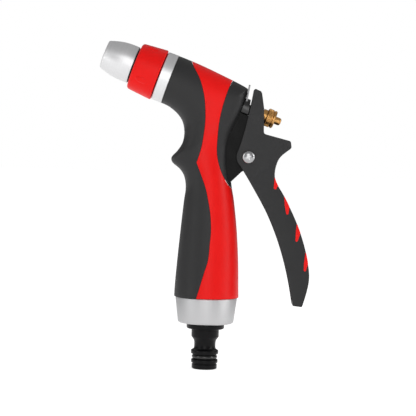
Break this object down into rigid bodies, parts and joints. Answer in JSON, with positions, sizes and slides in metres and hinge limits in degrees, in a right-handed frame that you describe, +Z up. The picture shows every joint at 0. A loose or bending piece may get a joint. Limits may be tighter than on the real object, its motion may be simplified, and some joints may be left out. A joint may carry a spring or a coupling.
{
  "type": "garden hose spray gun",
  "caption": "Pistol-grip garden hose spray gun: soft two-colour handle, rear squeeze trigger, twist nozzle head, brass adjusting nut and quick-connect hose spigot.",
  "frame": {"origin": "centre of the hose connector's lower end, on the axis of its water bore", "axes": "+Z up the handle along the connector's bore, -X towards the side that the jet leaves, Y across the handle; Y = 0 is the plane of symmetry"},
  "size_m": [0.1334, 0.0404, 0.2029],
  "materials": {
    "black_metal": "die-cast, painted semi-gloss black",
    "satin_aluminium": "fine brushed",
    "brushed_aluminium": "brushed round the axis",
    "satin_silver": "satin silver",
    "black_grip": "matt soft moulding",
    "red_grip": "satin soft moulding",
    "black_plastic": "satin moulded",
    "black_seal": "smooth rubber",
    "trigger_black": "die-cast, finely textured matt black paint",
    "steel": "bright",
    "polished_steel": "polished",
    "brass": "machined, slightly dulled",
    "nylon": "natural nylon"
  },
  "bodies": {
    "root": {"body_core": "black_metal", "front_band": "satin_aluminium", "base_collar": "satin_silver", "base_seal": "black_seal", "grip_front": "black_grip", "grip_red": "red_grip", "grip_rear": "black_grip", "hose_connector": "black_plastic", "connector_oring": "black_seal", "connector_washer": "black_seal", "gland_nut": "black_metal", "gland_oring": "black_seal", "rear_plate": "steel", "dust_boot": "black_seal", "valve_seat": "nylon", "valve_spring": "steel", "spring_washer": "steel", "spray_pin": "nylon", "pivot_screw": "polished_steel", "pivot_nut": "polished_steel"},
    "trigger": {"trigger_lever": "trigger_black", "trigger_inlays": "red_grip", "pivot_bushes": "nylon"},
    "stem": {"valve_stem": "brass", "plug_disc": "brass", "plug_seal": "black_seal", "plug_nut": "brass"},
    "thrust": {"thrust_washer": "brass"},
    "adjuster": {"adjusting_nut": "brass"},
    "head_seal": {"head_oring": "black_seal"},
    "head": {"nozzle_tip": "brushed_aluminium", "twist_ring": "red_grip", "head_sleeve": "black_plastic"}
  },
  "joints": [
    {"name": "trigger_pivot", "type": "hinge", "parent": "root", "child": "trigger", "pos_m": [0.0235, 0, 0.1334], "axis": [0, 1, 0], "range_deg": [0, 18], "stiffness_Nm_per_rad": 0.75, "springref_deg": -16.62},
    {"name": "stem_slide", "type": "slide", "parent": "root", "child": "stem", "axis": [0.9426, 0, -0.3338], "range_m": [0, 0.0086], "deforming": ["valve_spring"]},
    {"name": "nut_slide", "type": "slide", "parent": "stem", "child": "thrust", "axis": [0.9426, 0, -0.3338], "range_m": [0, 0.0032]},
    {"name": "nut_turn", "type": "hinge", "parent": "thrust", "child": "adjuster", "pos_m": [0.03581, 0, 0.15817], "axis": [0.9426, 0, -0.3338], "range_deg": [0, 1441]},
    {"name": "head_slide", "type": "slide", "parent": "root", "child": "head_seal", "axis": [-0.9426, 0, 0.3338], "range_m": [0, 0.00301]},
    {"name": "head_twist", "type": "hinge", "parent": "head_seal", "child": "head", "pos_m": [-0.04148, 0, 0.18554], "axis": [-0.9426, 0, 0.3338], "range_deg": [0, 360]}
  ],
  "couplings": [
    {"joint": "stem_slide", "follows": "trigger_pivot", "m_per_rad": 0.027346},
    {"joint": "nut_turn", "follows": "nut_slide", "rad_per_m": 7854},
    {"joint": "head_slide", "follows": "head_twist", "m_per_rad": 0.00047746}
  ]
}
